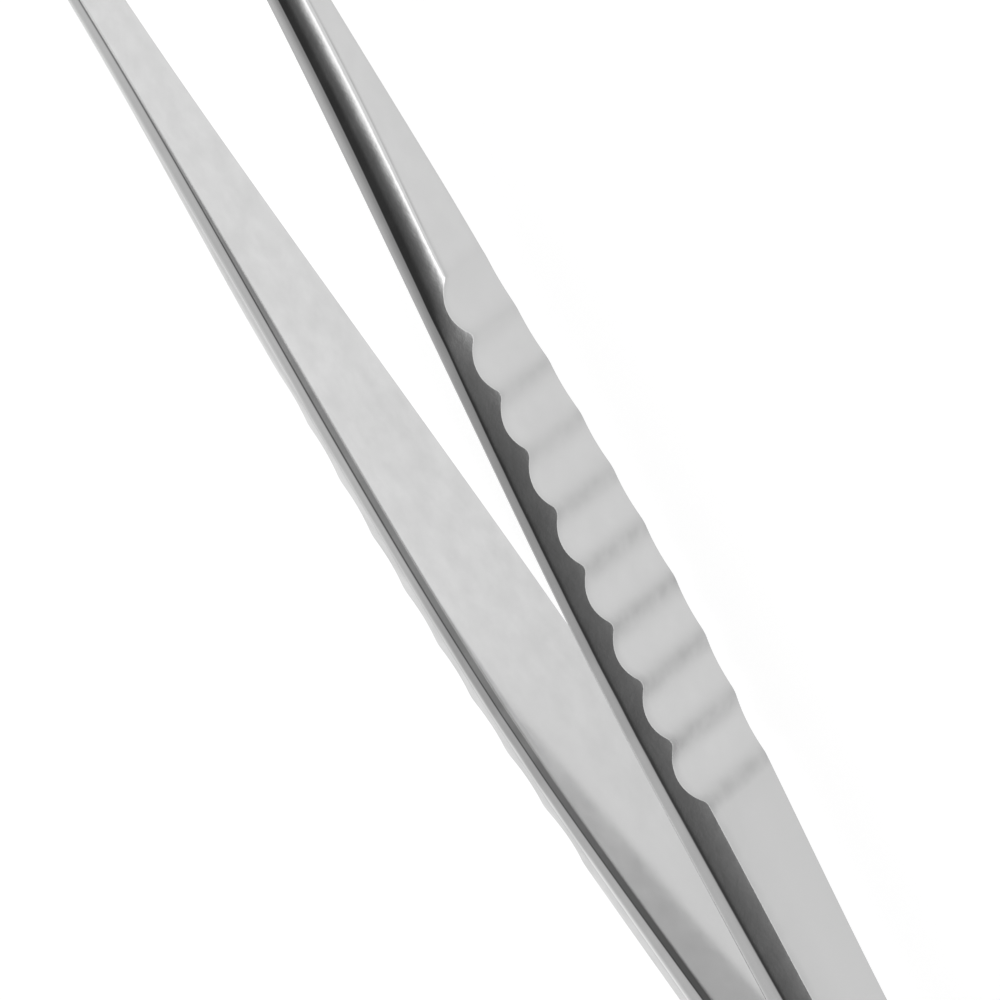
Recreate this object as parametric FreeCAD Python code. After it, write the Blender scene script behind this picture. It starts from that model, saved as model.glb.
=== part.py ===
import FreeCAD, Part
import math
import os

# Thumb forceps: two forged stainless-steel arms, mirror images of each other, welded face to
# face along their seats at the heel and sprung apart from there to the tips.
#
# Frame, in millimetres: +X runs from the heel to the tips, the arms open along Y and meet on
# the plane Y = 0, and Z is up. The forceps lies on its side, with the narrow side flats of its
# widest stretch on Z = 0. The origin is under the middle of its length.

# Length, and the lie of the forms along it
overall_length = 140.0
seat_length = 13.0          # welded faces, from the heel
rear_run = 11.0             # seat to the rear stretch of the springs
grip_run = 12.0             # rear stretch to the rear of the grip
belly_run = 6.0             # rear of the grip to its widest place
neck_run = 15.0             # front of the grip to the neck
throat_run = 10.0           # neck to where the fast taper ends
shank_run = 17.0            # throat to the middle of the slim jaws

# Flutes across the outer face of the grip, cut with one round wheel
flute_count = 9
flute_pitch = 3.02
rear_flute_count = 3        # rearmost flutes, which lie a little further apart
rear_flute_pitch = 3.15
rear_flute_margin = 1.18    # rear of the grip to the middle of the first flute
front_flute_margin = 1.4    # middle of the last flute to the front of the grip
flute_radius = 2.9
rear_flute_depth = 0.48
middle_flute_depth = 0.345
front_flute_depth = 0.41
crest_radius = 0.9

# Width of an arm, across its outer face
heel_width = 6.1
seat_width = 6.9
rear_width = 7.68
grip_rear_width = 8.8
belly_width = 9.1
grip_middle_width = 8.56
grip_front_width = 6.25
neck_width = 3.7
throat_width = 2.96
shank_width = 2.64
tip_width = 2.0

# Opening between the two inner faces
rear_opening = 2.14
grip_rear_opening = 4.14
grip_middle_opening = 5.96
grip_front_opening = 7.37
neck_opening = 8.86
shank_opening = 10.64
tip_opening = 12.6

# Thickness of an arm, from inner to outer face
heel_thickness = 2.0
seat_thickness = 2.5
rear_thickness = 2.05
grip_rear_thickness = 1.795
grip_middle_thickness = 1.65
grip_front_thickness = 1.685
neck_thickness = 1.45
shank_thickness = 1.36
tip_thickness = 1.25

# Outer bevel, between the outer face and the side flat: how deep it goes and how wide it is
heel_bevel_depth = 0.93
grip_rear_bevel_depth = 1.03
grip_middle_bevel_depth = 0.99
grip_front_bevel_depth = 0.98
neck_bevel_depth = 0.79
tip_bevel_depth = 0.5
heel_bevel_width = 0.75
grip_rear_bevel_width = 1.02
grip_middle_bevel_width = 1.05
grip_front_bevel_width = 1.17
neck_bevel_width = 1.03
tip_bevel_width = 0.5

# Crown of the bevel: nearly flat behind and beside the flutes, rounded ahead of them
rear_bevel_crown = 0.025
front_bevel_crown = 0.09
tip_bevel_crown = 0.05

# Small chamfer round the inner face
heel_inner_chamfer = 0.26
grip_middle_inner_chamfer = 0.26
grip_front_inner_chamfer = 0.23
jaw_inner_chamfer = 0.09

# Ends and the flats that the forceps lies on
heel_corner_radius = 2.4
heel_edge_radius = 0.9
tip_edge_radius = 0.7
rest_flat_relief = 0.02     # ground off the widest place, each side

# Sections that the smooth body of an arm is lofted through
seat_section_count = 3
blade_section_count = 24

# Places along the arm, measured from the heel
rear_place = seat_length + rear_run
grip_rear_place = rear_place + grip_run
belly_place = grip_rear_place + belly_run
flute_places = [grip_rear_place + rear_flute_margin]
for flute in range(1, flute_count):
    gap = rear_flute_pitch if flute < rear_flute_count else flute_pitch
    flute_places.append(flute_places[-1] + gap)
grip_front_place = flute_places[-1] + front_flute_margin
grip_middle_place = (grip_rear_place + grip_front_place) / 2
neck_place = grip_front_place + neck_run
throat_place = neck_place + throat_run
shank_place = throat_place + shank_run

heel_x = -overall_length / 2
middle_z = belly_width / 2 - rest_flat_relief
clear = 1.0                 # how far a cutter stands past the metal


def vector(x, y, z):
    return FreeCAD.Vector(x, y, z)


def smooth_curve(points):
    """Curve through (place, size) pairs, read at a place with size_at."""
    curve = Part.BSplineCurve()
    curve.interpolate(
        Points=[vector(place, size, 0) for place, size in points],
        Parameters=[place for place, size in points],
    )
    return curve


def size_at(curve, place):
    return curve.value(place).y


width_curve = smooth_curve([
    (0.0, heel_width),
    (seat_length, seat_width),
    (rear_place, rear_width),
    (grip_rear_place, grip_rear_width),
    (belly_place, belly_width),
    (grip_middle_place, grip_middle_width),
    (grip_front_place, grip_front_width),
    (neck_place, neck_width),
    (throat_place, throat_width),
    (shank_place, shank_width),
    (overall_length, tip_width),
])

opening_points = [
    (seat_length, 0.0),
    (rear_place, rear_opening),
    (grip_rear_place, grip_rear_opening),
    (grip_middle_place, grip_middle_opening),
    (grip_front_place, grip_front_opening),
    (neck_place, neck_opening),
    (shank_place, shank_opening),
    (overall_length, tip_opening),
]
opening_curve = smooth_curve(opening_points)

thicknesses = [
    seat_thickness,
    rear_thickness,
    grip_rear_thickness,
    grip_middle_thickness,
    grip_front_thickness,
    neck_thickness,
    shank_thickness,
    tip_thickness,
]
outer_points = [
    (place, opening / 2 + thickness)
    for (place, opening), thickness in zip(opening_points, thicknesses)
]
outer_curve = smooth_curve([(0.0, heel_thickness)] + outer_points)

bevel_depth_curve = smooth_curve([
    (0.0, heel_bevel_depth),
    (grip_rear_place, grip_rear_bevel_depth),
    (grip_middle_place, grip_middle_bevel_depth),
    (grip_front_place, grip_front_bevel_depth),
    (neck_place, neck_bevel_depth),
    (overall_length, tip_bevel_depth),
])
bevel_width_curve = smooth_curve([
    (0.0, heel_bevel_width),
    (grip_rear_place, grip_rear_bevel_width),
    (grip_middle_place, grip_middle_bevel_width),
    (grip_front_place, grip_front_bevel_width),
    (neck_place, neck_bevel_width),
    (overall_length, tip_bevel_width),
])
inner_chamfer_curve = smooth_curve([
    (0.0, heel_inner_chamfer),
    (grip_middle_place, grip_middle_inner_chamfer),
    (grip_front_place, grip_front_inner_chamfer),
    (neck_place, jaw_inner_chamfer),
    (throat_place, jaw_inner_chamfer),
    (overall_length, jaw_inner_chamfer),
])
flute_depth_curve = smooth_curve([
    (flute_places[0], rear_flute_depth),
    (grip_middle_place, middle_flute_depth),
    (flute_places[-1], front_flute_depth),
])


def inner_at(place):
    """Distance of the inner face from the plane between the arms."""
    if place <= seat_length:
        return 0.0
    return size_at(opening_curve, place) / 2


def crown_at(place):
    """The bevel rounds up over the frontmost flute and slims down towards the tip."""
    flat_until = grip_front_place - flute_pitch
    if place <= flat_until:
        return rear_bevel_crown
    if place <= grip_front_place:
        share = (place - flat_until) / flute_pitch
        return rear_bevel_crown + share * (front_bevel_crown - rear_bevel_crown)
    share = (place - grip_front_place) / (overall_length - grip_front_place)
    return front_bevel_crown + share * (tip_bevel_crown - front_bevel_crown)


def arm_section(place):
    """Closed outline of the arm on +Y: inner face, chamfers, side flats, bevels, outer face."""
    x = heel_x + place
    half_width = size_at(width_curve, place) / 2
    inner_y = inner_at(place)
    outer_y = size_at(outer_curve, place)
    chamfer = size_at(inner_chamfer_curve, place)
    bevel_depth = size_at(bevel_depth_curve, place)
    bevel_width = size_at(bevel_width_curve, place)
    crown = crown_at(place)
    slant = math.hypot(bevel_depth, bevel_width)
    crest_y = outer_y - bevel_depth / 2 + crown * bevel_width / slant
    crest_z = half_width - bevel_width / 2 + crown * bevel_depth / slant

    def point(y, z):
        return vector(x, y, middle_z + z)

    inner_low = point(inner_y, chamfer - half_width)
    inner_high = point(inner_y, half_width - chamfer)
    side_inner_high = point(inner_y + chamfer, half_width)
    side_outer_high = point(outer_y - bevel_depth, half_width)
    outer_high = point(outer_y, half_width - bevel_width)
    outer_low = point(outer_y, bevel_width - half_width)
    side_outer_low = point(outer_y - bevel_depth, -half_width)
    side_inner_low = point(inner_y + chamfer, -half_width)
    edges = [
        Part.makeLine(inner_low, inner_high),
        Part.makeLine(inner_high, side_inner_high),
        Part.makeLine(side_inner_high, side_outer_high),
        Part.Arc(side_outer_high, point(crest_y, crest_z), outer_high).toShape(),
        Part.makeLine(outer_high, outer_low),
        Part.Arc(outer_low, point(crest_y, -crest_z), side_outer_low).toShape(),
        Part.makeLine(side_outer_low, side_inner_low),
        Part.makeLine(side_inner_low, inner_low),
    ]
    return Part.Wire(edges)


def loft_between(start_place, end_place, section_count):
    step = (end_place - start_place) / (section_count - 1)
    wires = [arm_section(start_place + step * index) for index in range(section_count)]
    return Part.makeLoft(wires, True, False)


def wheel_centre(place):
    """Centre of the round flute that is cut into the outer face at this place."""
    point, slope = outer_curve.getD1(place)
    along = vector(slope.x, slope.y, 0).normalize()
    outward = vector(-along.y, along.x, 0)
    lift = flute_radius - size_at(flute_depth_curve, place)
    return vector(heel_x + place, point.y, 0) + outward * lift


def flute_cutter():
    """Prism of round flutes with rounded crests between them, laid on the outer face."""
    centres = [wheel_centre(place) for place in flute_places]

    # Where each crest starts and ends, tangent to the flutes on both sides
    reach = flute_radius + crest_radius
    first_rise = centres[0] - vector(flute_radius, 0, 0)
    starts = [first_rise]
    ends = []
    crest_tops = []
    for rear_centre, front_centre in zip(centres, centres[1:]):
        span = front_centre - rear_centre
        half_span = span.Length / 2
        along = vector(span.x, span.y, 0).normalize()
        inward = vector(along.y, -along.x, 0)
        drop = math.sqrt(reach ** 2 - half_span ** 2)
        crest_centre = rear_centre + along * half_span + inward * drop
        toward_rear = (crest_centre - rear_centre).normalize()
        toward_front = (crest_centre - front_centre).normalize()
        ends.append(rear_centre + toward_rear * flute_radius)
        crest_tops.append(crest_centre - inward * crest_radius)
        starts.append(front_centre + toward_front * flute_radius)
    ends.append(centres[-1] + vector(flute_radius, 0, 0))

    edges = []
    for index, centre in enumerate(centres):
        bottom = centre - vector(0, flute_radius, 0)
        edges.append(Part.Arc(starts[index], bottom, ends[index]).toShape())
        if index < len(crest_tops):
            edges.append(Part.Arc(ends[index], crest_tops[index], starts[index + 1]).toShape())
    front_top = ends[-1] + vector(0, clear, 0)
    rear_top = vector(starts[0].x, front_top.y, 0)
    edges.append(Part.makeLine(ends[-1], front_top))
    edges.append(Part.makeLine(front_top, rear_top))
    edges.append(Part.makeLine(rear_top, starts[0]))
    profile = Part.Face(Part.Wire(edges))
    profile.translate(vector(0, 0, middle_z - belly_width))
    return profile.extrude(vector(0, 0, 2 * belly_width))


def corner_cutter(corner, into_a, into_b, radius, sweep):
    """Prism of what lies outside a quarter round, where into_a and into_b point into the metal."""
    inward = into_a + into_b
    start = corner + into_a * radius
    end = corner + into_b * radius
    middle = corner + inward * radius * (1 - math.sqrt(0.5))
    outside = corner - inward * clear
    past_start = start - into_b * clear
    past_end = end - into_a * clear
    edges = [
        Part.Arc(start, middle, end).toShape(),
        Part.makeLine(end, past_end),
        Part.makeLine(past_end, outside),
        Part.makeLine(outside, past_start),
        Part.makeLine(past_start, start),
    ]
    return Part.Face(Part.Wire(edges)).extrude(sweep)


def end_cutters():
    """Quarter rounds off the heel and the tip, seen from outside and from above."""
    forward = vector(1, 0, 0)
    backward = vector(-1, 0, 0)
    inward = vector(0, -1, 0)
    low_y = -clear
    low_z = middle_z - belly_width
    across = vector(0, tip_opening + clear, 0)
    upward = vector(0, 0, 2 * belly_width)
    tip_x = heel_x + overall_length
    heel_half = heel_width / 2
    tip_half = tip_width / 2
    cutters = []
    for side in (1, -1):
        into = vector(0, 0, -side)
        heel_corner = vector(heel_x, low_y, middle_z + side * heel_half)
        tip_corner = vector(tip_x, low_y, middle_z + side * tip_half)
        cutters.append(corner_cutter(heel_corner, forward, into, heel_corner_radius, across))
        cutters.append(corner_cutter(tip_corner, backward, into, tip_half, across))
    heel_outer = vector(heel_x, size_at(outer_curve, 0.0), low_z)
    tip_outer = vector(tip_x, size_at(outer_curve, overall_length), low_z)
    cutters.append(corner_cutter(heel_outer, forward, inward, heel_edge_radius, upward))
    cutters.append(corner_cutter(tip_outer, backward, inward, tip_edge_radius, upward))
    return cutters


def rest_slab():
    """Space between the two planes that the side flats are ground to."""
    height = belly_width - 2 * rest_flat_relief
    corner = vector(heel_x - clear, -overall_length / 2, 0)
    return Part.makeBox(overall_length + 2 * clear, overall_length, height, corner)


def make_arm():
    """The arm on the +Y side of the forceps."""
    seat = loft_between(0.0, seat_length, seat_section_count)
    blade = loft_between(seat_length, overall_length, blade_section_count)
    body = seat.fuse(blade)
    body = body.common(rest_slab())
    body = body.cut(flute_cutter())
    for cutter in end_cutters():
        body = body.cut(cutter)
    return body.Solids[0]


def main():
    os.makedirs("parts", exist_ok=True)
    finger_arm = make_arm()
    thumb_arm = finger_arm.mirror(vector(0, 0, 0), vector(0, 1, 0))
    arms = {"thumb_arm": thumb_arm, "finger_arm": finger_arm}
    for name, shape in arms.items():
        shape.exportStep(f"parts/{name}.step")
        box = shape.BoundBox
        print(
            name, "valid", shape.isValid(), "solids", len(shape.Solids),
            "volume %.2f" % shape.Volume,
            "x %.3f %.3f" % (box.XMin, box.XMax),
            "y %.3f %.3f" % (box.YMin, box.YMax),
            "z %.3f %.3f" % (box.ZMin, box.ZMax),
        )


main()
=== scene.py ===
import logging
import math
from dataclasses import dataclass, field
from enum import Enum

import bpy
import numpy as np
from mathutils import Matrix, Vector


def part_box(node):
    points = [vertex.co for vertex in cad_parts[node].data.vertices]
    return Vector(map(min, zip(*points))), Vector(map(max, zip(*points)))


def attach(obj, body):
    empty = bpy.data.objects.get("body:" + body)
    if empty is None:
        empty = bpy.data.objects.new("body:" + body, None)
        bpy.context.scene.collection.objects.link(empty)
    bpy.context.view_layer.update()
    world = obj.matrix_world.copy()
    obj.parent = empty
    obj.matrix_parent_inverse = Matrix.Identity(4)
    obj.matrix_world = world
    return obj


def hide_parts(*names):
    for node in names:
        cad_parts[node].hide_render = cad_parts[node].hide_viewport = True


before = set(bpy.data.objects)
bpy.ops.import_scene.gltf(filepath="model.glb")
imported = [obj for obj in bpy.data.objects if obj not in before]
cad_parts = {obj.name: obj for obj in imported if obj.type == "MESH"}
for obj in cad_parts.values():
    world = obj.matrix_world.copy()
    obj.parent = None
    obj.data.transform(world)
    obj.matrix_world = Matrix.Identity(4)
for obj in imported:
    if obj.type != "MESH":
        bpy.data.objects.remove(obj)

logging.basicConfig(level=logging.INFO, format="%(message)s")
log = logging.getLogger("forceps")

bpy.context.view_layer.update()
MM = 0.001
# Height of the arms' middle plane above the board, in millimetres
MIDDLE_HEIGHT = 4.53
# The point attributes that the steel reads: the first holds painted shade and painted sheen,
# which also set how rough the steel is, and the second marks the scuffed bevel
PAINTED_LIGHT_AND_WEAR_NAME = "painted_light_and_wear"
SCUFF_NAME = "scuffs"

Point = tuple[float, float]


class Side(Enum):
    """Which way an arm lies from the plane between the two."""

    THUMB = -1
    FINGER = 1


@dataclass(frozen=True)
class StraightRuns:
    """A value that changes evenly from place to place, and stays level past both ends.

    Args:
        places: Where the values hold, rising.
        values: The value at each place.
    """

    places: tuple[float, ...]
    values: tuple[float, ...]

    def at(self, places: float | np.ndarray) -> float | np.ndarray:
        """The value at one place or at several."""
        return np.interp(places, self.places, self.values)


@dataclass(frozen=True)
class SmoothCurve:
    """A size that changes smoothly along the arm.

    Args:
        places: Distances from the heel, in millimetres, rising.
        sizes: The size at each place, in millimetres.
    """

    places: tuple[float, ...]
    sizes: tuple[float, ...]

    @staticmethod
    def end_slope(x: np.ndarray, y: np.ndarray) -> float:
        """Slope at the first of three points, on the parabola through them.

        Args:
            x: The three places.
            y: The size at each of them.

        Returns:
            The change of size for each millimetre.
        """
        first = (y[1] - y[0]) / (x[1] - x[0])
        second = (y[2] - y[1]) / (x[2] - x[1])
        return first - (second - first) * (x[1] - x[0]) / (x[2] - x[0])

    def slopes(self) -> np.ndarray:
        """Finds slopes with which the curve bends evenly through each place.

        Returns:
            The slope at each place.
        """
        x = np.array(self.places)
        y = np.array(self.sizes)
        gaps = np.diff(x)
        rises = np.diff(y) / gaps
        count = len(x)
        matrix = np.zeros((count, count))
        right = np.zeros(count)
        matrix[0, 0] = 1.0
        matrix[-1, -1] = 1.0
        right[0] = self.end_slope(x[:3], y[:3])
        right[-1] = self.end_slope(x[:-4:-1], y[:-4:-1])
        for i in range(1, count - 1):
            matrix[i, i - 1] = gaps[i]
            matrix[i, i] = 2 * (gaps[i - 1] + gaps[i])
            matrix[i, i + 1] = gaps[i - 1]
            right[i] = 3 * (gaps[i] * rises[i - 1] + gaps[i - 1] * rises[i])
        return np.linalg.solve(matrix, right)

    def at(self, places: float | np.ndarray) -> float | np.ndarray:
        """The size at one place or at several.

        Args:
            places: Distance or distances from the heel, in millimetres.

        Returns:
            The size at each of them.
        """
        x = np.array(self.places)
        y = np.array(self.sizes)
        slopes = self.slopes()
        index = np.clip(np.searchsorted(x, places, side="right") - 1, 0, len(x) - 2)
        gap = x[index + 1] - x[index]
        t = (places - x[index]) / gap
        keep = (1 + 2 * t) * (1 - t) ** 2
        keep_slope = t * (1 - t) ** 2
        take = t ** 2 * (3 - 2 * t)
        take_slope = t ** 2 * (t - 1)
        start = keep * y[index] + keep_slope * gap * slopes[index]
        end = take * y[index + 1] + take_slope * gap * slopes[index + 1]
        return start + end


@dataclass(frozen=True)
class ArmSizes:
    """Driving sizes of one forged arm, in millimetres, with places from the heel.

    From seat_end to shank they are the places between which the arm changes its shape. The
    flutes are counted from the front one back. heel_corner, heel_edge and tip_edge are the
    radii that round off both ends, and rest_relief is what is ground off the widest part.
    """

    length: float = 140.0
    seat_end: float = 13.0
    rear: float = 24.0
    spring: float = 36.0
    belly: float = 42.0
    grip_middle: float = 49.5
    waist: float = 63.0
    neck: float = 78.0
    throat: float = 88.0
    shank: float = 105.0
    front_flute: float = 61.6
    flute_pitch: float = 3.02
    rear_flute_pitch: float = 3.15
    front_flutes: int = 7
    rear_flutes: int = 2
    front_flute_reach: float = 1.5
    rear_flute_reach: float = 1.6
    flute_radius: float = 2.9
    crest_radius: float = 0.6
    front_crest_radius: float = 0.2
    heel_corner: float = 2.4
    heel_edge: float = 0.9
    tip_edge: float = 0.7
    rest_relief: float = 0.02

    @property
    def flutes(self) -> tuple[float, ...]:
        """Places the nine flutes, which stand a little further apart at the rear.

        Returns:
            Their middles, from the front one to the rear one.
        """
        front = [self.front_flute - i * self.flute_pitch for i in range(self.front_flutes)]
        rear = [front[-1] - (i + 1) * self.rear_flute_pitch for i in range(self.rear_flutes)]
        return tuple(front + rear)

    @property
    def grip_rear(self) -> float:
        """Where the rearmost flute ends."""
        return self.flutes[-1] - self.rear_flute_reach

    @property
    def grip_front(self) -> float:
        """Where the frontmost flute ends."""
        return self.flutes[0] + self.front_flute_reach


@dataclass(frozen=True)
class OuterFaceShadeAndWear:
    """Where the outer face is painted darker, as painted shade for its darker reflections, and
    made rougher, as shares of the light that it loses, by the place.

    Args:
        crests: Painted shade on the crests between the flutes.
        crest_half_band: Distance from a crest at which half of its loss is left.
        crest_shift: How far the darker band lies behind its crest.
        rear_crest_gap: Distance from the rearmost flute to the crest behind it.
        heel: Painted shade behind the grip.
        corner: Painted shade right beside the bevel.
        corner_fade: How far from the bevel that loss fades.
        corner_drop: How far from the bevel it is strongest.
        under_share: Share of the loss beside the bevel that the arm's underside has.
    """

    # Painted shade: the crests, the stretch behind the grip and the edge beside the bevel are
    # darker where their reflections are
    crests: StraightRuns = StraightRuns(
        (35.4, 38.7, 45.0, 48.0, 51.0, 54.0, 57.0, 60.1, 63.1),
        (0.206, 0.244, 0.244, 0.216, 0.187, 0.147, 0.147, 0.085, 0.044),
    )
    crest_half_band: float = 0.5
    crest_shift: float = 0.2
    rear_crest_gap: float = 1.6
    heel: StraightRuns = StraightRuns((34.0, 37.0), (0.055, 0.0))
    corner: StraightRuns = StraightRuns(
        (29.0, 34.0, 42.0, 48.0, 62.0, 66.0), (0.1, 0.1, 0.13, 0.05, 0.05, 0.24)
    )
    corner_fade: StraightRuns = StraightRuns(
        (29.0, 34.0, 42.0, 62.0, 66.0), (0.7, 0.7, 0.5, 0.35, 0.14)
    )
    corner_drop: StraightRuns = StraightRuns((62.0, 66.0), (0.0, 0.02))
    under_share: float = 0.15


@dataclass(frozen=True)
class HandGrindingAndPaintedLight:
    """What grinding by hand has left different on one arm, with the painted sheen of its inner
    face and the painted shade of its bevel, by the distance from the heel.

    Args:
        chamfer_tilt: Tilt of the inner chamfer from level, in degrees.
        extra_thickness: How much thicker the arm is than its forging, in millimetres.
        side_tilt_inner: Outward tilt of the side face at its inner edge, in degrees.
        side_tilt_outer: The same tilt at its outer edge.
        inner_painted_sheen: Share of the light that the inner face gains, as painted sheen.
        bevel_painted_shade: Share of the light that the bevel loses, as painted shade.
    """

    chamfer_tilt: StraightRuns
    extra_thickness: SmoothCurve
    side_tilt_inner: StraightRuns
    side_tilt_outer: StraightRuns
    inner_painted_sheen: StraightRuns
    bevel_painted_shade: float


THUMB_GRINDING_AND_PAINTED_LIGHT = HandGrindingAndPaintedLight(
    chamfer_tilt=StraightRuns((29.0, 60.0, 70.0, 82.0), (53.0, 54.5, 56.0, 58.0)),
    extra_thickness=SmoothCurve((0.0, 70.0, 140.0), (0.0, 0.0, 0.0)),
    side_tilt_inner=StraightRuns((50.0, 58.0, 62.0, 66.0, 74.0), (0.0, -3.0, -6.0, -8.0, -11.0)),
    side_tilt_outer=StraightRuns((50.0, 74.0), (0.0, 0.0)),
    # Painted sheen: the inner face is painted brighter, more so towards the grip
    inner_painted_sheen=StraightRuns((30.0, 34.0, 38.0), (0.08, 0.11, 0.17)),
    bevel_painted_shade=0.0,
)
FINGER_GRINDING_AND_PAINTED_LIGHT = HandGrindingAndPaintedLight(
    chamfer_tilt=StraightRuns(
        (29.0, 35.0, 42.0, 52.0, 60.0, 66.0, 72.0, 78.0, 82.0),
        (45.5, 49.0, 52.3, 53.1, 53.3, 53.2, 53.5, 55.0, 56.0),
    ),
    extra_thickness=SmoothCurve(
        (0.0, 24.0, 29.0, 35.0, 42.0, 50.0, 58.0, 66.0, 74.0, 81.0, 105.0, 140.0),
        (0.0, 0.07, 0.09, 0.08, 0.1, 0.13, 0.16, 0.12, -0.05, -0.2, -0.2, -0.2),
    ),
    side_tilt_inner=StraightRuns((46.0, 52.0, 58.0), (0.0, 6.0, 8.0)),
    side_tilt_outer=StraightRuns((46.0, 52.0, 58.0), (0.0, 6.0, 8.0)),
    # Painted sheen: the inner face is painted a little darker at the heel and brighter towards
    # the grip
    inner_painted_sheen=StraightRuns((30.0, 35.0, 40.0, 50.0), (-0.025, 0.01, 0.03, 0.075)),
    # Painted shade: the bevel is painted darker
    bevel_painted_shade=0.19,
)


@dataclass(frozen=True)
class BevelShape:
    """The bevel's shape, which is a flat facet at the rear and rolls over at the front.

    Args:
        facet: Tilt from level, in degrees, by the share of the way from the side face.
        turning: The same tilt where the bevel leaves the facet.
        rolled: The same tilt where it has rolled over.
        turn: Which of the three shapes the bevel has, from 0 to 2, by the place.
        samples: Points at which the shape is worked out.
    """

    facet: StraightRuns = StraightRuns(
        (0.0, 0.03, 0.07, 0.13, 0.22, 0.6, 1.0),
        (0.0, 15.0, 32.0, 42.0, 45.0, 47.0, 50.0),
    )
    turning: StraightRuns = StraightRuns(
        (0.0, 0.08, 0.19, 0.26, 0.32, 0.39, 0.5, 0.7, 0.8, 0.88, 0.94, 1.0),
        (36.0, 38.5, 41.3, 43.9, 46.0, 47.8, 50.6, 53.5, 55.5, 57.5, 60.0, 62.5),
    )
    rolled: StraightRuns = StraightRuns(
        (0.0, 0.08, 0.22, 0.28, 0.34, 0.42, 0.5, 0.57,
         0.63, 0.74, 0.81, 0.84, 0.87, 0.9, 0.94, 1.0),
        (34.0, 38.5, 39.2, 42.4, 45.4, 46.3, 48.7, 51.2,
         52.7, 55.2, 57.0, 58.3, 60.5, 62.5, 68.0, 76.0),
    )
    turn: StraightRuns = StraightRuns((60.3, 62.3, 66.0), (0.0, 1.0, 2.0))
    samples: int = 81

    def curve(self, place: float) -> np.ndarray:
        """The shape from the side face to the outer face.

        Args:
            place: Distance from the heel, in millimetres.

        Returns:
            Rows of distance outward and distance down, from 0, 0 to the bevel's far edge.
        """
        shares = np.linspace(0.0, 1.0, self.samples)
        tilts = [shape.at(shares) for shape in (self.facet, self.turning, self.rolled)]
        turn = self.turn.at(place)
        first = min(int(turn), 1)
        blend = turn - first
        tilt = np.radians(tilts[first] * (1 - blend) + tilts[first + 1] * blend)
        middles = (tilt[1:] + tilt[:-1]) / 2
        steps = np.stack([np.cos(middles), np.sin(middles)], axis=1)
        return np.concatenate([[[0.0, 0.0]], np.cumsum(steps, axis=0)])


@dataclass(frozen=True)
class Section:
    """Sizes of an arm at one place, in millimetres.

    Args:
        place: Distance from the heel.
        inner: Distance of the inner face from the plane between the arms.
        outer: Distance of the outer face, in the flutes too, from that plane.
        uncut: The same distance before the flutes are cut.
        half: Half of the width.
        depth: How far the bevel reaches in from the uncut outer face.
        width: How far the bevel reaches down from the side face.
        chamfer: Mean of the inner chamfer's two legs.
        tilt: Tilt of the inner chamfer from level, in degrees.
        painted_light_and_wear: Share of the light that the outer face loses, as painted shade.
    """

    place: float
    inner: float
    outer: float
    uncut: float
    half: float
    depth: float
    width: float
    chamfer: float
    tilt: float
    painted_light_and_wear: float


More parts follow.
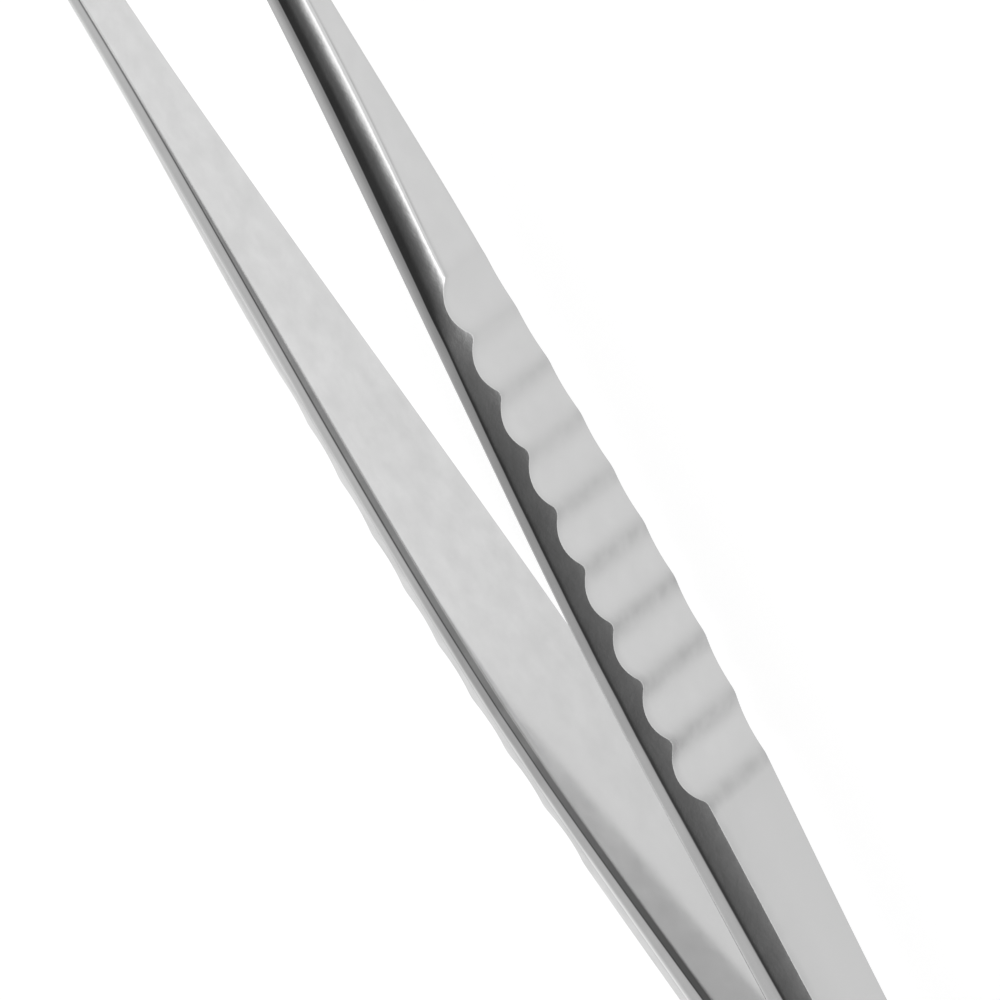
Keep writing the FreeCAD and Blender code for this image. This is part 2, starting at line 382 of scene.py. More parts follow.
@dataclass
class ForcepsArm:
    """One arm: a lofted bar with a flat inner face, bevelled outer face and nine flutes.

    Args:
        name: Name of the piece.
        node: The solid that it stands for.
        side: Which of the two arms it is.
        grinding: What is its own and not the other arm's, its painted sheen and shade included.
        sizes: Driving sizes.
        painted_light_and_wear: Where its outer face is painted darker, as painted shade, and made
            rougher.
        bevel: Shape of its bevel.
        hollow: How hollow the inner face is ground, in millimetres, by the place.
        edge_ease: How far the rounding of the chamfer's edges reaches, in millimetres.
        bevel_ease: The same for the bevel's edge at the outer face.
        ease_share: Share of a side that a rounding may take, where the sides are short.
        inner_steps: Where the inner face has points, as shares from its middle to its edge.
        chamfer_steps: Where the chamfer has points, close to its edges, so it shades flat.
        side_steps: Where the side face has points, as shares of its width.
        face_steps: Where the outer face has points, in millimetres from the bevel.
        bevel_steps: Steps across the bevel.
        ease_steps: Steps round each rounding.
        cut_step: Step at which the flutes are worked out, in millimetres.
        cut_margin: How far past the grip they are worked out, in millimetres.
        flute_ring_gap: Gap between rings in the grip, in millimetres.
        flute_ring_margin: How far past the grip the rings are that close, in millimetres.
        ring_gap: Gap between rings elsewhere, in millimetres.
        end_rings: Rings in each rounded end.
        heel_first_angle: Angle of the heel's first ring in its rounding, in radians.
        tip_last_angle: Angle of the tip's last ring in its rounding, in radians.
        weld_distance: Distance at which points that meet become one, in metres.
        sharp_angle_deg: Angle past which an edge stays sharp, in degrees.
    """

    name: str
    node: str
    side: Side
    grinding: HandGrindingAndPaintedLight
    sizes: ArmSizes = field(default_factory=ArmSizes)
    painted_light_and_wear: OuterFaceShadeAndWear = field(default_factory=OuterFaceShadeAndWear)
    bevel: BevelShape = field(default_factory=BevelShape)
    hollow: StraightRuns = StraightRuns((14.0, 20.0, 29.0, 35.0), (0.0, 0.05, 0.05, 0.025))
    edge_ease: float = 0.035
    bevel_ease: float = 0.015
    ease_share: float = 0.45
    inner_steps: tuple[float, ...] = (0.0, 0.3, 0.55, 0.75, 0.9)
    chamfer_steps: tuple[float, ...] = (0.12, 0.88)
    side_steps: tuple[float, ...] = (0.25, 0.5, 0.75)
    face_steps: tuple[float, ...] = (0.08, 0.16, 0.26, 0.42, 0.7)
    bevel_steps: int = 20
    ease_steps: int = 4
    cut_step: float = 0.02
    cut_margin: float = 3.0
    flute_ring_gap: float = 0.12
    flute_ring_margin: float = 0.8
    ring_gap: float = 1.0
    end_rings: int = 12
    heel_first_angle: float = 0.05
    tip_last_angle: float = 0.16
    weld_distance: float = 1e-7
    sharp_angle_deg: float = 40.0

    def __post_init__(self) -> None:
        """Draws the curves that the arm's sizes follow along its length."""
        s = self.sizes
        self.half_width = SmoothCurve(
            (0.0, s.seat_end, s.rear, s.spring, s.belly, s.grip_middle,
             s.waist, 70.5, s.neck, s.throat, s.shank, s.length),
            (3.05, 3.45, 3.84, 4.4, 4.55, 4.28,
             3.14, 2.425, 1.83, 1.47, 1.32, 1.0),
        )
        self.inner = SmoothCurve(
            (s.seat_end, s.rear, s.spring, s.grip_middle, s.waist, s.neck, s.shank, s.length),
            (0.0, 1.06, 2.04, 2.96, 3.66, 4.4, 5.3, 6.3),
        )
        self.outer = SmoothCurve(
            (0.0, s.seat_end, s.rear, s.spring, s.grip_middle,
             s.waist, 72.0, s.neck, s.shank, s.length),
            (2.0, 2.5, 3.03, 3.905, 4.69,
             5.37, 5.768, 5.91, 6.55, 7.45),
        )
        bevel_places = (
            0.0, s.rear, s.spring, s.grip_middle, 57.0, 61.5, 66.0, 70.0, s.neck, s.length,
        )
        self.bevel_depth = SmoothCurve(
            bevel_places, (0.85, 0.955, 1.15, 1.12, 1.085, 1.01, 1.0, 0.955, 0.87, 0.5)
        )
        self.bevel_width = SmoothCurve(
            bevel_places, (0.75, 0.91, 1.085, 1.11, 1.13, 1.165, 1.11, 1.115, 1.02, 0.5)
        )
        self.chamfer = SmoothCurve(
            (0.0, s.grip_middle, s.waist, s.neck, s.throat, s.length),
            (0.26, 0.28, 0.25, 0.09, 0.09, 0.09),
        )
        self.flute_depth = SmoothCurve(
            (s.flutes[-1], s.grip_middle, s.flutes[0]), (0.51, 0.33, 0.39)
        )

    @property
    def tip_round(self) -> float:
        """Radius of the rounded tip, which is half of the width there."""
        return self.half_width.at(self.sizes.length)

    def places(self) -> np.ndarray:
        """Spaces out the rings of the bar, closely in the grip and in both rounded ends.

        Returns:
            Their distances from the heel, in millimetres, rising.
        """
        s = self.sizes
        margin = self.flute_ring_margin
        heel_angles = np.linspace(self.heel_first_angle, math.pi / 2, self.end_rings)
        tip_angles = np.linspace(math.pi / 2, self.tip_last_angle, self.end_rings)
        heel = s.heel_corner * (1 - np.cos(heel_angles))
        tip = s.length - self.tip_round * (1 - np.cos(tip_angles))
        fluted = self.spread(s.grip_rear - margin, s.grip_front + margin, self.flute_ring_gap)
        seat = self.spread(s.heel_corner, s.seat_end, self.ring_gap)[1:-1]
        rear = self.spread(s.seat_end, fluted[0], self.ring_gap)[:-1]
        jaw = self.spread(fluted[-1], s.length - self.tip_round, self.ring_gap)[1:-1]
        return np.concatenate([heel, seat, rear, fluted, jaw, tip])

    @staticmethod
    def spread(start: float, end: float, gap: float) -> np.ndarray:
        """Even ring places from start to end."""
        return np.linspace(start, end, max(3, round((end - start) / gap) + 1))

    def flute_floor(self, places: np.ndarray) -> np.ndarray:
        """How deep the flutes are cut below the outer face, with their crests rounded.

        Args:
            places: Distances from the heel, in millimetres.

        Returns:
            The depth of the cut at each of them.
        """
        s = self.sizes
        start, end = s.grip_rear - self.cut_margin, s.grip_front + self.cut_margin
        fine = np.arange(start, end, self.cut_step)
        line = self.outer.at(fine)
        cut = np.zeros_like(fine)
        for middle in s.flutes:
            off = np.clip(fine - middle, -s.flute_radius, s.flute_radius)
            sag = s.flute_radius - np.sqrt(s.flute_radius ** 2 - off ** 2)
            cut = np.maximum(cut, self.flute_depth.at(middle) - sag)
        soft = self.roll(line - cut, s.crest_radius, self.cut_step)
        crisp = self.roll(line - cut, s.front_crest_radius, self.cut_step)
        share = np.clip((fine - (s.flutes[0] - s.flute_pitch)) / s.flute_pitch, 0, 1)
        rounded = soft * (1 - share) + crisp * share
        return np.interp(places, fine, line - rounded, left=0.0, right=0.0)

    @staticmethod
    def roll(heights: np.ndarray, radius: float, step: float) -> np.ndarray:
        """Rounds the crests of a line as a ball rolled along inside it leaves them.

        Args:
            heights: The line, at even steps.
            radius: The ball's radius.
            step: The step between the heights.

        Returns:
            The rounded line.
        """
        reach = int(radius / step)
        offsets = np.arange(-reach, reach + 1)
        ball = np.sqrt(radius ** 2 - (offsets * step) ** 2)
        line = heights
        for lift, pick in ((-ball, np.min), (ball, np.max)):
            padded = np.pad(line, reach, mode="reflect", reflect_type="odd")
            shifted = [
                padded[reach + offset:reach + offset + len(line)] + height
                for offset, height in zip(offsets, lift)
            ]
            line = pick(shifted, axis=0)
        return line

    def crest_shade_and_wear(self, places: np.ndarray) -> np.ndarray:
        """How much darker the outer face is painted, as painted shade, most on the crests beside
        the flutes.

        Args:
            places: Distances from the heel, in millimetres.

        Returns:
            The share of the light lost at each of them.
        """
        s = self.sizes
        crests = [(a + b) / 2 for a, b in zip(s.flutes, s.flutes[1:])]
        crests += [s.flutes[0] + s.flute_pitch / 2, s.flutes[-1] - self.painted_light_and_wear.rear_crest_gap]
        loss = np.zeros_like(places)
        for crest in crests:
            off = (places - crest + self.painted_light_and_wear.crest_shift) / self.painted_light_and_wear.crest_half_band
            loss = np.maximum(loss, self.painted_light_and_wear.crests.at(crest) * 0.5 ** (off ** 2))
        return np.maximum(loss, self.painted_light_and_wear.heel.at(places))

    def bevel_points(self, section: Section) -> list[Point]:
        """The bevel's points, from the side face to the outer face or to the flute.

        Args:
            section: The sizes at one place.

        Returns:
            Points as distance from the plane between the arms and height over the middle.
        """
        shape = self.bevel.curve(section.place)
        end = shape[-1]
        turn = math.atan2(section.width, section.depth) - math.atan2(end[1], end[0])
        grow = math.hypot(section.depth, section.width) / math.hypot(end[0], end[1])
        along, aside = math.cos(turn) * grow, math.sin(turn) * grow
        across = section.uncut - section.depth + shape[:, 0] * along - shape[:, 1] * aside
        up = section.half - (shape[:, 0] * aside + shape[:, 1] * along)
        numbers = np.arange(len(across))
        last = np.interp(section.outer, across, numbers)
        index = np.linspace(0.0, last, self.bevel_steps + 1)
        return list(zip(np.interp(index, numbers, across), np.interp(index, numbers, up)))

    def chamfer_corners(self, section: Section, drop: float) -> tuple[Point, Point]:
        """The two corners of the inner chamfer.

        Args:
            section: The sizes at one place.
            drop: How far the side face lies below the full height at the chamfer.

        Returns:
            The corner on the inner face and the one on the side face.
        """
        steep = math.sqrt(math.tan(math.radians(section.tilt)))
        on_inner = (section.inner, section.half - drop - section.chamfer * steep)
        on_side = (section.inner + section.chamfer / steep, section.half - drop)
        return on_inner, on_side

    def side_drops(self, place: float, width: float) -> list[float]:
        """How far the side face lies below the full height, from its inner to its outer edge.

        Args:
            place: Distance from the heel, in millimetres.
            width: Width of the side face.

        Returns:
            The drop at the inner edge, at each of the steps between and, as 0, at the outer edge.
        """
        first = math.tan(math.radians(self.grinding.side_tilt_inner.at(place)))
        last = math.tan(math.radians(self.grinding.side_tilt_outer.at(place)))
        falls = [
            width * (first * step + (last - first) * step ** 2 / 2)
            for step in (0.0, *self.side_steps, 1.0)
        ]
        return [fall - falls[-1] for fall in falls]

    def ease(self, before: Point, corner: Point, after: Point, size: float) -> list[Point]:
        """Rounds one corner of the outline.

        Args:
            before: Point before the corner.
            corner: The corner itself.
            after: Point after it.
            size: How far the rounding reaches from the corner, at most.

        Returns:
            Points on the small arc that takes the corner's place.
        """
        to_before = Vector(before) - Vector(corner)
        to_after = Vector(after) - Vector(corner)
        share = self.ease_share
        reach = min(size, share * to_before.length, share * to_after.length)
        first = Vector(corner) + to_before.normalized() * reach
        last = Vector(corner) + to_after.normalized() * reach
        points = []
        for step in range(self.ease_steps + 1):
            t = step / self.ease_steps
            point = first * (1 - t) ** 2 + Vector(corner) * 2 * t * (1 - t) + last * t ** 2
            points.append((point.x, point.y))
        return points

    def outline(self, section: Section) -> list[Point]:
        """Upper half of the section, from the middle of the inner face to the outer one.

        Args:
            section: The sizes at one place.

        Returns:
            Points as distance from the plane between the arms and height over the middle.
        """
        bevel = self.bevel_points(section)
        drops = self.side_drops(
            section.place, section.uncut - section.depth - section.inner - section.chamfer
        )
        on_inner, on_side = self.chamfer_corners(section, drops[0])
        hollow = self.hollow.at(section.place)
        points = [
            (section.inner + hollow * (1 - step ** 2), on_inner[1] * step)
            for step in self.inner_steps
        ]
        inner_arc = self.ease(points[-1], on_inner, on_side, self.edge_ease)
        side_arc = self.ease(on_inner, on_side, bevel[0], self.edge_ease)
        points += inner_arc
        points += [between(inner_arc[-1], side_arc[0], step) for step in self.chamfer_steps]
        points += side_arc
        points += [
            (on_side[0] + (bevel[0][0] - on_side[0]) * step, section.half - drop)
            for step, drop in zip(self.side_steps, drops[1:])
        ]
        points += bevel[:-1]
        points += self.ease(bevel[-2], bevel[-1], (section.outer, 0.0), self.bevel_ease)
        corner = bevel[-1][1]
        # Near the tip the face is narrower than 2 mm, so its points move closer together
        points += [
            (section.outer, corner - step * min(1.0, corner)) for step in self.face_steps
        ]
        points.append((section.outer, 0.0))
        return points

    def zones(self, count: int) -> tuple[int, int]:
        """Where the bevel and the outer face start in the outline.

        Args:
            count: Number of points in the outline.

        Returns:
            Index of the bevel's first point and of the outer face's first point.
        """
        corner_points = self.ease_steps // 2 + 1
        face = count - corner_points - len(self.face_steps) - 1
        return face - self.bevel_steps, face

    def scuffed(self, count: int) -> list[float]:
        """How scuffed each of the outline's points is: only the bevel is."""
        start, end = self.zones(count)
        return [1.0 if start <= index < end else 0.0 for index in range(count)]

    def painted_light_and_wear_shares(
        self, section: Section, upper: list[Point], corner_share: float
    ) -> list[float]:
        """How much light is painted off or onto each point of the outline.

        Args:
            section: The sizes at one place.
            upper: The outline's points.
            corner_share: How much of the painted shade beside the bevel it has.

        Returns:
            The share lost at each point, as painted shade, less than 0 where the inner face is
            painted brighter.
        """
        bevel_start, face_start = self.zones(len(upper))
        corner = upper[face_start][1]
        strength = self.painted_light_and_wear.corner.at(section.place)
        fade = self.painted_light_and_wear.corner_fade.at(section.place)
        drop = self.painted_light_and_wear.corner_drop.at(section.place)
        shares = []
        for index, (_, z) in enumerate(upper):
            if index >= face_start:
                # Outer face: painted shade on the crests, behind the grip and beside the bevel
                off = (corner - z - drop) / fade
                shares.append(section.painted_light_and_wear + corner_share * strength * math.exp(-off ** 2))
            elif index <= len(self.inner_steps):
                # Inner face: painted sheen
                shares.append(-self.grinding.inner_painted_sheen.at(section.place))
            elif index >= bevel_start:
                # Bevel: painted shade
                shares.append(self.grinding.bevel_painted_shade)
            else:
                shares.append(0.0)
        return shares

    def sections(self) -> list[Section]:
        """Reads the curves at every ring, and rounds off both ends.

        Returns:
            The sizes at each ring, from the heel to the tip.
        """
        s = self.sizes
        places = self.places()
        from_tip = s.length - places
        extra = self.grinding.extra_thickness.at(places)
        uncut = self.outer.at(places) + extra
        inner = np.where(places <= s.seat_end, 0.0, self.inner.at(places))
        outer = uncut - self.flute_floor(places)
        # The widest part is ground flat, a little below its full width, for the arm to lie on
        rest_half = self.half_width.at(s.belly) - s.rest_relief
        half = np.minimum(self.half_width.at(places), rest_half)
        corners = self.rounded(places, s.heel_corner), self.rounded(from_tip, self.tip_round)
        edges = self.rounded(places, s.heel_edge), self.rounded(from_tip, s.tip_edge)
        half_cut = half - corners[0] - corners[1]
        thick = uncut - inner
        keep_thick = (thick - edges[0] - edges[1]) / thick
        uncut_end = inner + thick * keep_thick
        keep = np.minimum(half_cut / half, keep_thick)
        columns = (
            places,
            inner,
            np.minimum(outer, uncut_end),
            uncut_end,
            half_cut,
            (self.bevel_depth.at(places) + extra) * keep,
            self.bevel_width.at(places) * keep,
            self.chamfer.at(places) * keep,
            self.grinding.chamfer_tilt.at(places),
            self.crest_shade_and_wear(places),
        )
        return [Section(*map(float, values)) for values in zip(*columns)]

    @staticmethod
    def rounded(from_end: np.ndarray, radius: float) -> np.ndarray:
        """How much a quarter round of this radius takes off, this far from the end."""
        into = np.clip(radius - from_end, 0.0, radius)
        return radius - np.sqrt(radius ** 2 - into ** 2)

    @staticmethod
    def all_round(above: list, below: list) -> list:
        """Joins the values of both halves of a ring, and ends with the first again."""
        return above + below[-2:0:-1] + above[:1]

    def build(self) -> bpy.types.Object:
        """Lays a grid round the bar, closes its seam and ends, and marks where it is painted
        lighter or darker.

        Returns:
            The arm, in its place.
        """
        heel = float(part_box(self.node)[0][0])
        rings = []
        painted_light_and_wear = []
        scuffs = []
        for section in self.sections():
            upper = self.outline(section)
            lower = [(y, -z) for y, z in upper]
            rings.append([
                (
                    heel + section.place * MM,
                    self.side.value * y * MM,
                    MIDDLE_HEIGHT * MM + z * MM,
                )
                for y, z in self.all_round(upper, lower)
            ])
            # Painted light and shade at each point, which the steel reads
            painted_light_and_wear += self.all_round(
                self.painted_light_and_wear_shares(section, upper, 1.0),
                self.painted_light_and_wear_shares(section, upper, self.painted_light_and_wear.under_share),
            )
            scuffed = self.scuffed(len(upper))
            scuffs += self.all_round(scuffed, scuffed)
        bpy.ops.object.select_all(action="DESELECT")
        bpy.ops.mesh.primitive_grid_add(
            x_subdivisions=len(rings[0]) - 1,
            y_subdivisions=len(rings) - 1,
            size=self.sizes.length * MM,
        )
        arm = bpy.context.object
        arm.name = self.name
        arm.data.vertices.foreach_set("co", np.array(rings).ravel())
        self.mark(arm, PAINTED_LIGHT_AND_WEAR_NAME, painted_light_and_wear)
        self.mark(arm, SCUFF_NAME, scuffs)
        bpy.ops.object.mode_set(mode="EDIT")
        bpy.ops.mesh.select_all(action="SELECT")
        bpy.ops.mesh.remove_doubles(threshold=self.weld_distance)
        bpy.ops.mesh.select_all(action="DESELECT")
        bpy.ops.mesh.select_non_manifold()
        bpy.ops.mesh.fill_holes(sides=0)
        bpy.ops.mesh.select_all(action="SELECT")
        bpy.ops.mesh.normals_make_consistent(inside=False)
        bpy.ops.object.mode_set(mode="OBJECT")
        bpy.ops.object.shade_smooth_by_angle(angle=math.radians(self.sharp_angle_deg))
        log.info("%s: %d vertices", self.name, len(arm.data.vertices))
        return arm

    @staticmethod
    def mark(arm: bpy.types.Object, name: str, values: list[float]) -> None:
        """Gives each vertex a value that the steel reads by this name."""
        attribute = arm.data.attributes.new(name, "FLOAT", "POINT")
        attribute.data.foreach_set("value", np.array(values))

    def dress(self, arm: bpy.types.Object, steel: bpy.types.Material) -> None:
        """Gives the arm its steel and its place in the frame.

        Args:
            arm: The arm that build has made.
            steel: The finish of both arms.
        """
        arm.data.materials.clear()
        arm.data.materials.append(steel)
        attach(arm, "root")
        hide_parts(self.node)


@dataclass(frozen=True)
class SatinSteel:
    """Stainless steel, ground and then satin polished.

    It mirrors its surroundings softly, with a cloudy sheen and the cross marks of a fine
    grinding belt. The bevel was ground by hand and is scuffed. The crests are rougher from
    handling, and they, the stretch behind the grip and the edge beside the bevel are painted
    darker, as painted shade; the finger arm's bevel is painted darker too, as painted shade, and
    the inner faces are painted brighter, as painted sheen. A fine belt leaves marks about 0.03 mm
    apart, which is too fine to show, so they are drawn five times as coarse.

    Args:
        name: Name of the finish.
        tint: Colour of the bare steel.
        roughness: How blurred its reflections are.
        roughness_swing: How far the clouds change that to both sides.
        mark_spacing_mm: Gap between the belt marks.
        mark_length_mm: Length of a belt mark.
        mark_depth_mm: Depth of the belt marks.
        ripple_size_mm: Size of the scuffs.
        ripple_depth_mm: Depth of the scuffs.
        cloud_size_mm: Size of the clouds.
        cloud_depth: Share of the light that the clouds give or take.
        painted_light_and_wear_break_up: How patchy the clouds make the painted light and shade.
        wear_roughness: How much rougher the steel is where it would lose all of its light.
        noise_low: Level that a noise seldom falls below.
        noise_high: Level that a noise seldom rises above.
    """

    name: str = "satin_stainless_steel"
    tint: str = "#CBCBCB"
    roughness: float = 0.13
    roughness_swing: float = 0.03
    mark_spacing_mm: float = 0.16
    mark_length_mm: float = 1.6
    mark_depth_mm: float = 0.001
    ripple_size_mm: float = 0.55
    ripple_depth_mm: float = 0.007
    cloud_size_mm: float = 1.4
    cloud_depth: float = 0.02
    painted_light_and_wear_break_up: float = 0.35
    wear_roughness: float = 0.3
    noise_low: float = 0.3
    noise_high: float = 0.7

    def build(self) -> bpy.types.Material:
        """Makes the steel from its tint, its cloudy sheen, its painted light and shade and its
        relief.

        Returns:
            The finish, for both arms.
        """
        material = bpy.data.materials.new(self.name)
        material.use_nodes = True
        tree = material.node_tree
        tree.nodes.clear()
        shader = add_node(tree, "ShaderNodeBsdfPrincipled", sockets={"Metallic": 1.0})
        output = add_node(tree, "ShaderNodeOutputMaterial")
        tree.links.new(shader.outputs["BSDF"], output.inputs["Surface"])
        place = add_node(tree, "ShaderNodeTexCoord").outputs["Object"]
        clouds = add_node(
            tree,
            "ShaderNodeTexNoise",
            sockets={"Scale": 1.0 / (self.cloud_size_mm * MM), "Detail": 3.0},
            links={"Vector": place},
        )
        # The clouds vary three things, each to both sides of its middle value
        smooth, patchy, bright = (
            add_node(
                tree,
                "ShaderNodeMapRange",
                sockets={
                    "From Min": self.noise_low,
                    "From Max": self.noise_high,
                    "To Min": middle - reach,
                    "To Max": middle + reach,
                },
                links={"Value": clouds.outputs["Fac"]},
            )
            for middle, reach in (
                (self.roughness, self.roughness_swing),
                (1.0, self.painted_light_and_wear_break_up),
                (1.0, self.cloud_depth),
            )
        )
        # The crests are painted darker, as painted shade, and made rougher, and the edge of that
        # band is uneven
        painted_light_and_wear_attribute = add_node(tree, "ShaderNodeAttribute", settings={"attribute_name": PAINTED_LIGHT_AND_WEAR_NAME})
        painted_light_and_wear_share = add_node(
            tree,
            "ShaderNodeMath",
            settings={"operation": "MULTIPLY"},
            links={0: painted_light_and_wear_attribute.outputs["Fac"], 1: patchy.outputs["Result"]},
        )
        rough = add_node(
            tree,
            "ShaderNodeMath",
            settings={"operation": "MULTIPLY_ADD"},
            sockets={1: self.wear_roughness},
            links={0: painted_light_and_wear_share.outputs["Value"], 2: smooth.outputs["Result"]},
        )
        tree.links.new(rough.outputs["Value"], shader.inputs["Roughness"])
        # The tint is scaled by the painted shade and painted sheen
        kept = add_node(
            tree,
            "ShaderNodeMath",
            settings={"operation": "SUBTRACT"},
            sockets={0: 1.0},
            links={1: painted_light_and_wear_share.outputs["Value"]},
        )
        level = add_node(
            tree,
            "ShaderNodeMath",
            settings={"operation": "MULTIPLY"},
            links={0: kept.outputs["Value"], 1: bright.outputs["Result"]},
        )
        colour = add_node(
            tree,
            "ShaderNodeVectorMath",
            settings={"operation": "SCALE"},
            sockets={0: linear(self.tint)[:3]},
            links={"Scale": level.outputs["Value"]},
        )
        tree.links.new(colour.outputs["Vector"], shader.inputs["Base Color"])
        tree.links.new(self.relief(tree, place), shader.inputs["Normal"])
        return material

    def relief(
        self, tree: bpy.types.NodeTree, place: bpy.types.NodeSocket
    ) -> bpy.types.NodeSocket:
        """Adds the fine relief: scuffs on the bevel, and belt marks all over.

        Args:
            tree: The steel's node tree.
            place: Object coordinates.

        Returns:
            The normal with both.
        """
        ripples = add_node(
            tree,
            "ShaderNodeTexNoise",
            sockets={"Scale": 1.0 / (self.ripple_size_mm * MM), "Detail": 4.0, "Roughness": 0.65},
            links={"Vector": place},
        )
        scuffed = add_node(tree, "ShaderNodeAttribute", settings={"attribute_name": SCUFF_NAME})
        scuffs = add_node(
            tree,
            "ShaderNodeBump",
            sockets={"Distance": self.ripple_depth_mm * MM},
            links={"Height": ripples.outputs["Fac"], "Strength": scuffed.outputs["Fac"]},
        )
        # Belt marks run across the arm, so the pattern is stretched along Y and Z
        across = 1.0 / (self.mark_length_mm * MM)
        along = 1.0 / (self.mark_spacing_mm * MM)
        stretch = add_node(
            tree,
            "ShaderNodeMapping",
            sockets={"Scale": (along, across, across)},
            links={"Vector": place},
        )
        marks = add_node(
            tree,
            "ShaderNodeTexNoise",
            sockets={"Scale": 1.0, "Detail": 2.0, "Roughness": 0.55},
            links={"Vector": stretch.outputs["Vector"]},
        )
        relief = add_node(
            tree,
            "ShaderNodeBump",
            sockets={"Strength": 1.0, "Distance": self.mark_depth_mm * MM},
            links={"Height": marks.outputs["Fac"], "Normal": scuffs.outputs["Normal"]},
        )
        return relief.outputs["Normal"]


@dataclass(frozen=True)
class WhiteBoard:
    """Board with matt white paint, flat and without gloss, that the forceps lies on.

    Most of its white is a glow of its own, so that only the faintest shadow shows on it.

    Args:
        name: Name of the paint's material.
        paint: Colour that the room's light falls on.
        light: Colour of the glow.
        roughness: How matt the paint is.
        half_size: Half of the board's width, in metres.
        glow: Strength of the glow, where 1 is full white.
    """

    name: str = "matt_white_board"
    paint: str = "#969696"
    light: str = "#FFFFFF"
    roughness: float = 0.8
    half_size: float = 3.0
    glow: float = 0.895

    def build(self) -> bpy.types.Object:
        """Adds the board under the forceps.

        Returns:
            The board.
        """
        bpy.ops.object.select_all(action="DESELECT")
        bpy.ops.mesh.primitive_plane_add(size=2 * self.half_size, location=(0, 0, 0))
        board = bpy.context.object
        board.name = "board"
        material = bpy.data.materials.new(self.name)
        material.use_nodes = True
        shader = material.node_tree.nodes["Principled BSDF"]
        shader.inputs["Base Color"].default_value = linear(self.paint)
        shader.inputs["Roughness"].default_value = self.roughness
        shader.inputs["Emission Color"].default_value = linear(self.light)
        shader.inputs["Emission Strength"].default_value = self.glow
        board.data.materials.append(material)
        log.info("%s: %.1f m wide", board.name, 2 * self.half_size)
        return board


@dataclass(frozen=True)
class Studio:
    """Soft light of a room that is dark above the camera's side and pale elsewhere.

    Args:
        near_side: Brightness on the camera's side by the sine of the height.
        far_side: The same on the far side, where 1 is the board's white.
        side_blend: Sine of the angle at which one side's brightness has become the other's.
        heel_end: Strength of the light from past the heel.
        tip_end: Strength of the light from past the tips.
        heel_reach: X of the direction, as a unit vector, below which heel_end holds in full.
        tip_reach: X of the direction above which tip_end holds in full.
    """

    near_side: tuple[Point, ...] = (
        (0.0, 1.9), (0.12, 1.75), (0.2, 0.97), (0.27, 0.48), (0.34, 0.24), (0.42, 0.17),
        (0.52, 0.122), (0.62, 0.07), (0.7, 0.045), (0.9, 0.055), (1.0, 0.45),
    )
    far_side: tuple[Point, ...] = (
        (0.0, 1.05), (0.3, 1.0), (0.5, 0.95), (0.7, 0.78), (0.79, 0.54), (0.84, 0.5),
        (0.9, 0.49), (1.0, 0.45),
    )
    side_blend: float = 0.25
    heel_end: float = 2.8
    tip_end: float = 1.7
    heel_reach: float = -0.25
    tip_reach: float = 0.1

    def build(self) -> bpy.types.World:
        """Paints the room: brightness by height, by side and along the forceps.

        Returns:
            The world that lights the scene.
        """
        world = bpy.data.worlds.new("studio")
        bpy.context.scene.world = world
        world.use_nodes = True
        tree = world.node_tree
        tree.nodes.clear()
        place = add_node(tree, "ShaderNodeTexCoord")
        split = add_node(
            tree, "ShaderNodeSeparateXYZ", links={"Vector": place.outputs["Generated"]}
        )
        share = add_node(
            tree,
            "ShaderNodeMapRange",
            settings={"interpolation_type": "SMOOTHSTEP"},
            sockets={
                "From Min": -self.side_blend,
                "From Max": self.side_blend,
                "To Min": 0.0,
                "To Max": 1.0,
            },
            links={"Value": split.outputs["Y"]},
        )
        mix = add_node(
            tree,
            "ShaderNodeMix",
            settings={"data_type": "RGBA"},
            links={
                "Factor": share.outputs["Result"],
                6: self.by_height(tree, split.outputs["Z"], self.near_side),
                7: self.by_height(tree, split.outputs["Z"], self.far_side),
            },
        )
        # The room is brighter past the heel than past the tips
        along = add_node(
            tree,
            "ShaderNodeMapRange",
            sockets={
                "From Min": self.heel_reach,
                "From Max": self.tip_reach,
                "To Min": self.heel_end,
                "To Max": self.tip_end,
            },
            links={"Value": split.outputs["X"]},
        )
        shine = add_node(
            tree,
            "ShaderNodeBackground",
            links={"Color": mix.outputs[2], "Strength": along.outputs["Result"]},
        )
        output = add_node(tree, "ShaderNodeOutputWorld")
        tree.links.new(shine.outputs["Background"], output.inputs["Surface"])
        log.info("%s: %d nodes", world.name, len(tree.nodes))
        return world

    @staticmethod
    def by_height(
        tree: bpy.types.NodeTree, height: bpy.types.NodeSocket, stops: tuple[Point, ...]
    ) -> bpy.types.NodeSocket:
        """Makes one side of the room as bright as it is at each height.

        Args:
            tree: The room's node tree.
            height: Sine of the height.
            stops: Pairs of that sine and the brightness there.

        Returns:
            Half of the brightness, because a ramp holds nothing above 1.
        """
        node = add_node(tree, "ShaderNodeValToRGB", links={"Fac": height})
        elements = node.color_ramp.elements
        while len(elements) > 1:
            elements.remove(elements[-1])
        for index, (place, level) in enumerate(stops):
            element = elements[0] if index == 0 else elements.new(place)
            element.position = place
            element.color = (level / 2, level / 2, level / 2, 1.0)
        return node.outputs["Color"]


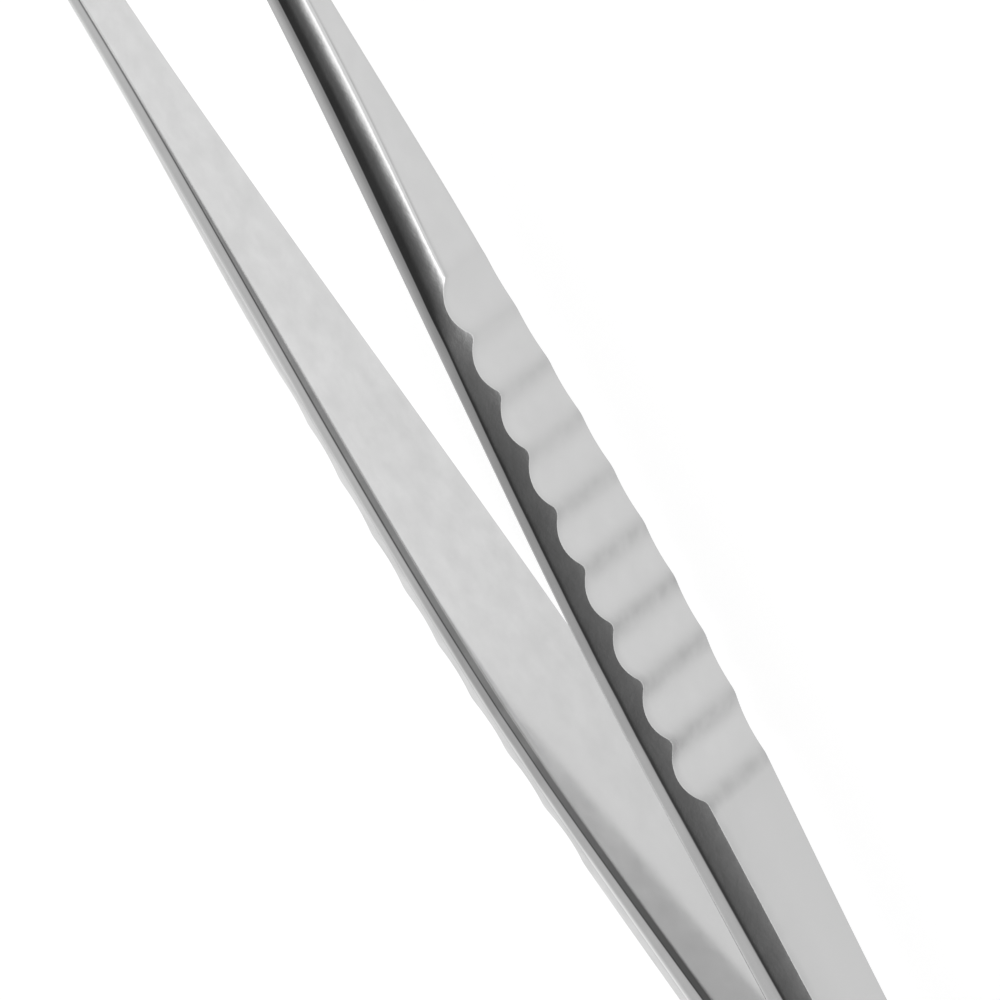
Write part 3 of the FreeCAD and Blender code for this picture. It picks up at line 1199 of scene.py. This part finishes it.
@dataclass(frozen=True)
class PhotoCamera:
    """Long lens above the thumb arm, rolled so that the tips point up and left.

    Args:
        azimuth_deg: How far it stands round from -Y towards +X.
        elevation_deg: How far above the board's plane it stands.
        roll_deg: How far it is turned about its own line of sight.
        distance: Distance from the point that it aims at, in metres.
        lens: Focal length, in millimetres.
        sensor_width: Width of the sensor, in millimetres.
        clip_start: Distance at which it starts to see, in metres.
        aim: The point at the middle of its picture, in metres.
    """

    azimuth_deg: float = 8.235
    elevation_deg: float = 56.52
    roll_deg: float = 127.509
    distance: float = 0.44978
    lens: float = 341.17
    sensor_width: float = 36.0
    clip_start: float = 0.01
    aim: tuple[float, float, float] = (-0.017624, -0.000042, 0.004088)

    def build(self) -> bpy.types.Object:
        """Adds the camera and makes it the scene's.

        Returns:
            The camera.
        """
        azimuth = math.radians(self.azimuth_deg)
        elevation = math.radians(self.elevation_deg)
        back = Vector((
            math.sin(azimuth) * math.cos(elevation),
            -math.cos(azimuth) * math.cos(elevation),
            math.sin(elevation),
        ))
        level_right = Vector((0, 0, 1)).cross(back).normalized()
        level_up = back.cross(level_right)
        roll = math.radians(self.roll_deg)
        up = level_up * math.cos(roll) + level_right * math.sin(roll)
        right = up.cross(back)
        turn = Matrix((right, up, back)).transposed()
        place = Matrix.Translation(Vector(self.aim) + back * self.distance)
        data = bpy.data.cameras.new("photo_camera")
        data.lens = self.lens
        data.sensor_width = self.sensor_width
        data.clip_start = self.clip_start
        camera = bpy.data.objects.new("photo_camera", data)
        bpy.context.scene.collection.objects.link(camera)
        camera.matrix_world = place @ turn.to_4x4()
        bpy.context.scene.camera = camera
        log.info("%s: %.1f mm lens", camera.name, self.lens)
        return camera


def between(first: Point, last: Point, share: float) -> Point:
    """The point at this share of the way from the first to the last."""
    return (
        first[0] + (last[0] - first[0]) * share,
        first[1] + (last[1] - first[1]) * share,
    )


def linear(code: str) -> tuple[float, float, float, float]:
    """Turns an sRGB hex colour into Blender's linear one, by the sRGB standard's curve.

    Args:
        code: Colour as #RRGGBB.

    Returns:
        Red, green, blue and an alpha of 1.
    """
    channels = [int(code[i:i + 2], 16) / 255 for i in (1, 3, 5)]
    lit = [c / 12.92 if c <= 0.04045 else ((c + 0.055) / 1.055) ** 2.4 for c in channels]
    return (*lit, 1.0)


def add_node(
    tree: bpy.types.NodeTree,
    kind: str,
    settings: dict | None = None,
    sockets: dict | None = None,
    links: dict | None = None,
) -> bpy.types.Node:
    """Adds a shader node.

    Args:
        tree: The node tree that it goes into.
        kind: Blender's name for the node.
        settings: The node's own properties.
        sockets: Values for its inputs, by name or number.
        links: Outputs of other nodes for its inputs, by name or number.

    Returns:
        The new node.
    """
    node = tree.nodes.new(kind)
    for name, value in (settings or {}).items():
        setattr(node, name, value)
    for name, value in (sockets or {}).items():
        node.inputs[name].default_value = value
    for name, source in (links or {}).items():
        tree.links.new(source, node.inputs[name])
    return node


def main() -> None:
    """Builds the two arms, the board, the light and the camera."""
    bpy.context.scene.view_settings.view_transform = "Standard"
    steel = SatinSteel().build()
    makers = (
        ForcepsArm("thumb_arm_steel", "thumb_arm", Side.THUMB, THUMB_GRINDING_AND_PAINTED_LIGHT),
        ForcepsArm("finger_arm_steel", "finger_arm", Side.FINGER, FINGER_GRINDING_AND_PAINTED_LIGHT),
    )
    for maker in makers:
        maker.dress(maker.build(), steel)
    WhiteBoard().build()
    Studio().build()
    PhotoCamera().build()


if __name__ == "__main__":
    main()
